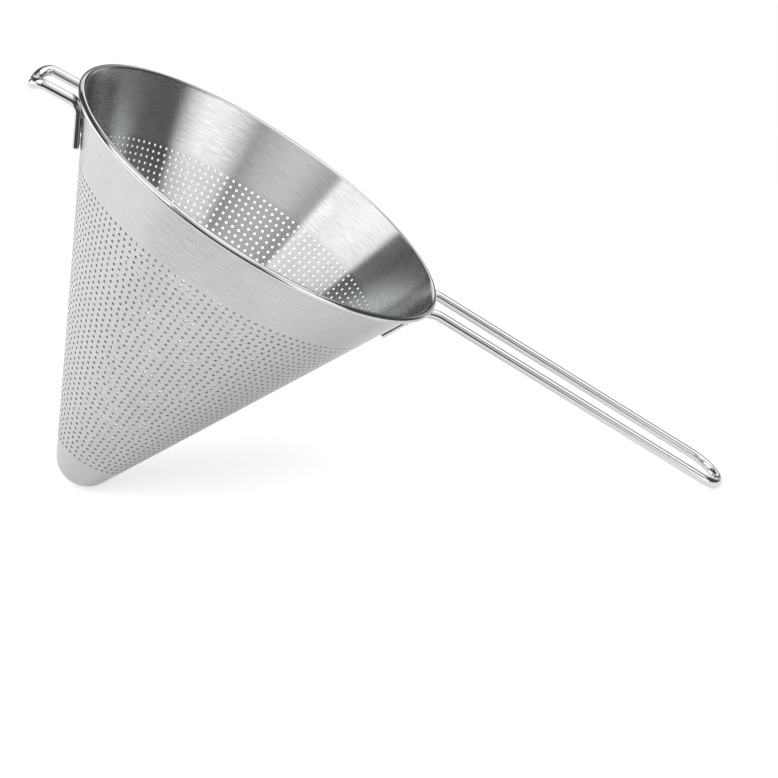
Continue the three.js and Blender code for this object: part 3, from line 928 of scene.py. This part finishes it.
# Softboxes of the studio: where each hangs, its half sizes, the softness of its edge and its strength
SOFTBOXES = {
    "left overhead": ((-0.51, -0.31, 0.80), 0.44, 0.43, 0.04, 1.52),
    "right front": ((0.75, -0.66, -0.08), 0.355, 0.42, 0.03, 1.62),
    "right overhead": ((0.62, 0.05, 0.78), 0.50, 0.45, 0.15, 1.4),
    "left wall": ((-0.97, 0.15, -0.10), 0.70, 0.50, 0.20, 1.7),
    "front overhead": ((0.21, -0.72, 0.65), 0.46, 0.44, 0.20, 0.85),
    "top": ((0.0, 0.14, 0.99), 0.36, 0.36, 0.08, 0.9),
    "back wall": ((-0.05, 0.93, 0.37), 0.28, 0.13, 0.04, 0.8),
    "back right": ((0.31, 0.77, 0.56), 0.28, 0.34, 0.10, 0.85),
    "back corner": ((0.52, 0.85, -0.06), 0.18, 0.22, 0.10, 0.4),
    "left front": ((-0.66, -0.66, 0.36), 0.25, 0.20, 0.10, 0.8),
}


# Where the table changes, in metres from and to, and the share of its glow that is left under the sieve as a painted
# shadow
SHADED, PLAIN_WHITE = (0.04, 0.18), (0.35, 0.6)
END_PAST_HANDLE, END_IN_FRONT = (0.2, 0.3), (-0.30, -0.37)
SHADED_GLOW = 0.5


def studio_world(scene, studio):
    """White all round to the camera, and a dim room with a few softboxes to the steel."""
    world = bpy.data.worlds.new("studio")
    world.use_nodes = True
    scene.world = world
    nodes = Nodes(world.node_tree)
    ray = nodes.add("ShaderNodeTexCoord").outputs["Generated"]
    light = studio.room_light
    for facing, half_width, half_height, edge, strength in SOFTBOXES.values():
        facing = unit(np.array(facing))
        side = unit(np.cross((0.0, 0.0, 1.0), facing))
        box = use_group(
            nodes, softbox_group(), Ray=ray, Facing=tuple(facing), Side=tuple(side),
            Half_width=half_width, Half_height=half_height, Edge=edge, Strength=strength,
        )
        light = nodes.math("ADD", box["Light"], light)
    seen = nodes.add("ShaderNodeLightPath").outputs["Is Camera Ray"]
    background = world.node_tree.nodes["Background"]
    background.inputs["Color"].default_value = (1, 1, 1, 1)
    nodes.fill(background.inputs["Strength"], nodes.math("MAXIMUM", light, seen))


def studio_floor(studio):
    """A round white table that keeps the sieve's shadow.

    Far from the sieve it is plain white to the camera. The steel sees it glow less under the sieve, as a painted
    shadow, and end past the handle and in front.
    """
    sides, radius = 96, 3.0
    angles = np.arange(sides) * TURN / sides
    rim = np.stack([radius * np.cos(angles), radius * np.sin(angles), 0 * angles], axis=1)
    points = np.concatenate([[[0.0, 0.0, 0.0]], rim])
    ids = 1 + np.arange(sides)
    triangles = np.stack([np.zeros(sides, int), ids, np.roll(ids, -1)], axis=1)
    material = bpy.data.materials.new("white table")
    material.use_nodes = True
    nodes = Nodes(material.node_tree)
    shader = material.node_tree.nodes["Principled BSDF"]
    shader.inputs["Base Color"].default_value = opaque(studio.floor_colour)
    shader.inputs["Roughness"].default_value = 0.5
    shader.inputs["Specular IOR Level"].default_value = 0.0
    shader.inputs["Emission Color"].default_value = (1, 1, 1, 1)
    white = nodes.add("ShaderNodeEmission").outputs[0]
    clear = nodes.add("ShaderNodeBsdfTransparent").outputs[0]
    spot = nodes.add("ShaderNodeTexCoord").outputs["Object"]
    split = nodes.add("ShaderNodeSeparateXYZ")
    nodes.link(spot, split.inputs[0])
    reach = nodes.vector("LENGTH", spot).outputs["Value"]
    path = nodes.add("ShaderNodeLightPath").outputs
    below = nodes.vector("DISTANCE", spot, studio.shade_spot).outputs["Value"]
    # Painted shadow: the glow that the steel sees is lowered round the shaded spot under the sieve
    glow = nodes.remap(below, *SHADED, SHADED_GLOW * studio.floor_glow, studio.floor_glow)
    glow = nodes.remap(path["Is Camera Ray"], 0.0, 1.0, glow, studio.floor_glow + studio.floor_white)
    nodes.link(glow, shader.inputs["Emission Strength"])
    far = nodes.math("MULTIPLY", path["Is Camera Ray"], nodes.remap(reach, *PLAIN_WHITE, 0.0, 1.0))
    beside = nodes.remap(split.outputs[0], *END_PAST_HANDLE, 0.0, 1.0)
    before = nodes.remap(split.outputs[1], *END_IN_FRONT, 0.0, 1.0)
    past = nodes.math("MULTIPLY", path["Is Glossy Ray"], nodes.math("MAXIMUM", beside, before))
    seen = nodes.mix_shader(past, nodes.mix_shader(far, shader.outputs[0], white), clear)
    nodes.link(seen, material.node_tree.nodes["Material Output"].inputs["Surface"])
    floor = make_piece("table", points, triangles, points[triangles][..., :2], material)


def studio_camera(scene, studio):
    """A camera that sees the rim's middle at its pixel, from the given distance and height."""
    rise = studio.camera_height
    across = np.array([1.0, 0.0, 0.0])
    up = np.array([0.0, sin(rise), cos(rise)])
    ahead = np.array([0.0, cos(rise), -sin(rise)])
    middle = (studio.image_width - 1) / 2
    scale = studio.camera_distance / studio.focal_pixels
    spot = (
        RIM_CENTRE
        - (studio.rim_across - middle) * scale * across
        + (studio.rim_down - middle) * scale * up
        - studio.camera_distance * ahead
    )
    data = bpy.data.cameras.new("camera")
    data.sensor_width = 36.0
    data.lens = studio.focal_pixels * data.sensor_width / studio.image_width
    data.clip_start, data.clip_end = 0.01, 20.0
    camera = bpy.data.objects.new("camera", data)
    camera.location = spot
    camera.rotation_euler = (pi / 2 - rise, 0.0, 0.0)
    scene.collection.objects.link(camera)
    scene.camera = camera


class SIEVE_OT_stage(Operator):
    """Set up the table, the light and the camera"""

    bl_idname = "sieve.stage"
    bl_label = "Studio"

    def execute(self, context):
        scene = context.scene
        studio = scene.sieve_studio
        scene.view_settings.view_transform = "Standard"
        studio_world(scene, studio)
        studio_floor(studio)
        studio_camera(scene, studio)
        return {"FINISHED"}


OPERATORS = (SIEVE_OT_cone, SIEVE_OT_handle, SIEVE_OT_hook, SIEVE_OT_welds, SIEVE_OT_stage)
GROUPS = {
    "sieve_cone": SieveConeSizes,
    "sieve_wires": SieveWireSizes,
    "sieve_finish": SieveFinish,
    "sieve_studio": SieveStudio,
}


class SIEVE_PT_panel(Panel):
    """Steps that dress the sieve"""

    bl_idname = "SIEVE_PT_panel"
    bl_label = "Conical Sieve"
    bl_space_type = "VIEW_3D"
    bl_region_type = "UI"
    bl_category = "Sieve"

    def draw(self, context):
        for operator in OPERATORS:
            self.layout.operator(operator.bl_idname)
        for key in GROUPS:
            box = self.layout.box()
            sizes = getattr(context.scene, key)
            for label in sizes.__annotations__:
                box.prop(sizes, label)


def register():
    for kind in (*GROUPS.values(), *OPERATORS, SIEVE_PT_panel):
        bpy.utils.register_class(kind)
    for key, kind in GROUPS.items():
        setattr(bpy.types.Scene, key, PointerProperty(type=kind))


def unregister():
    for key in GROUPS:
        delattr(bpy.types.Scene, key)
    for kind in (SIEVE_PT_panel, *reversed(OPERATORS), *GROUPS.values()):
        bpy.utils.unregister_class(kind)


def main():
    register()
    bpy.ops.sieve.cone()
    bpy.ops.sieve.handle()
    bpy.ops.sieve.hook()
    bpy.ops.sieve.welds()
    bpy.ops.sieve.stage()


if __name__ == "__main__":
    main()
